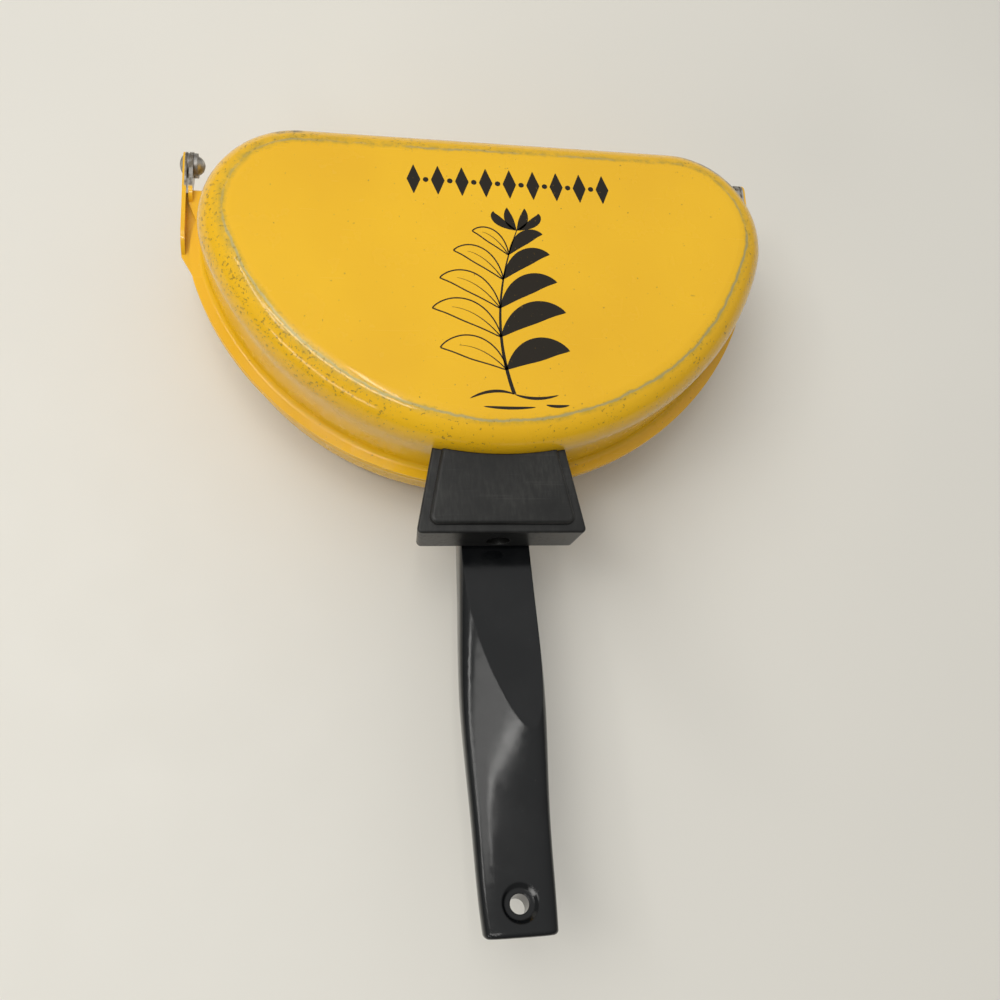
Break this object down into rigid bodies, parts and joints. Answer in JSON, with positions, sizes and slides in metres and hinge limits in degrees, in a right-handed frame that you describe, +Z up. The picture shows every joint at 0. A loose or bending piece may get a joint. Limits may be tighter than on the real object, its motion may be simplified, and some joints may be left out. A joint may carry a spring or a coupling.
{
  "type": "folding omelette pan",
  "caption": "Folding stovetop omelette pan: two hinged half-moon enamelled pans, with a long handle below and a short grip above.",
  "frame": {"origin": "on the table, under the middle of the lower pan", "axes": "+X along the hinge to the right, +Y from the handle to the hinge side, +Z up"},
  "size_m": [0.2496, 0.3094, 0.081],
  "materials": {
    "yellow_enamel": "glossy enamel, worn at the shoulder",
    "black_handle_plastic": "polished phenolic",
    "black_grip_plastic": "scuffed phenolic",
    "hinge_metal": "dull, stained",
    "steel": "zinc plated, dull",
    "screw_steel": "lightly rusted"
  },
  "bodies": {
    "lower_half": {"lower_pan": "yellow_enamel", "right_hinge_rivet": "hinge_metal", "left_hinge_rivet": "hinge_metal", "right_hinge_spacer": "steel", "left_hinge_spacer": "steel", "right_hinge_washer": "steel", "left_hinge_washer": "steel", "handle_bracket": "steel", "bracket_rivets": "hinge_metal", "long_handle": "black_handle_plastic", "handle_screw": "steel", "handle_screw_washer": "steel"},
    "upper_half": {"upper_pan": "yellow_enamel", "short_grip": "black_grip_plastic", "grip_boss": "hinge_metal", "grip_screw": "screw_steel"}
  },
  "joints": [
    {"name": "pan_hinge", "type": "hinge", "parent": "lower_half", "child": "upper_half", "pos_m": [0, 0.0669, 0.0405], "axis": [-1, 0, 0], "range_deg": [0, 180]}
  ]
}
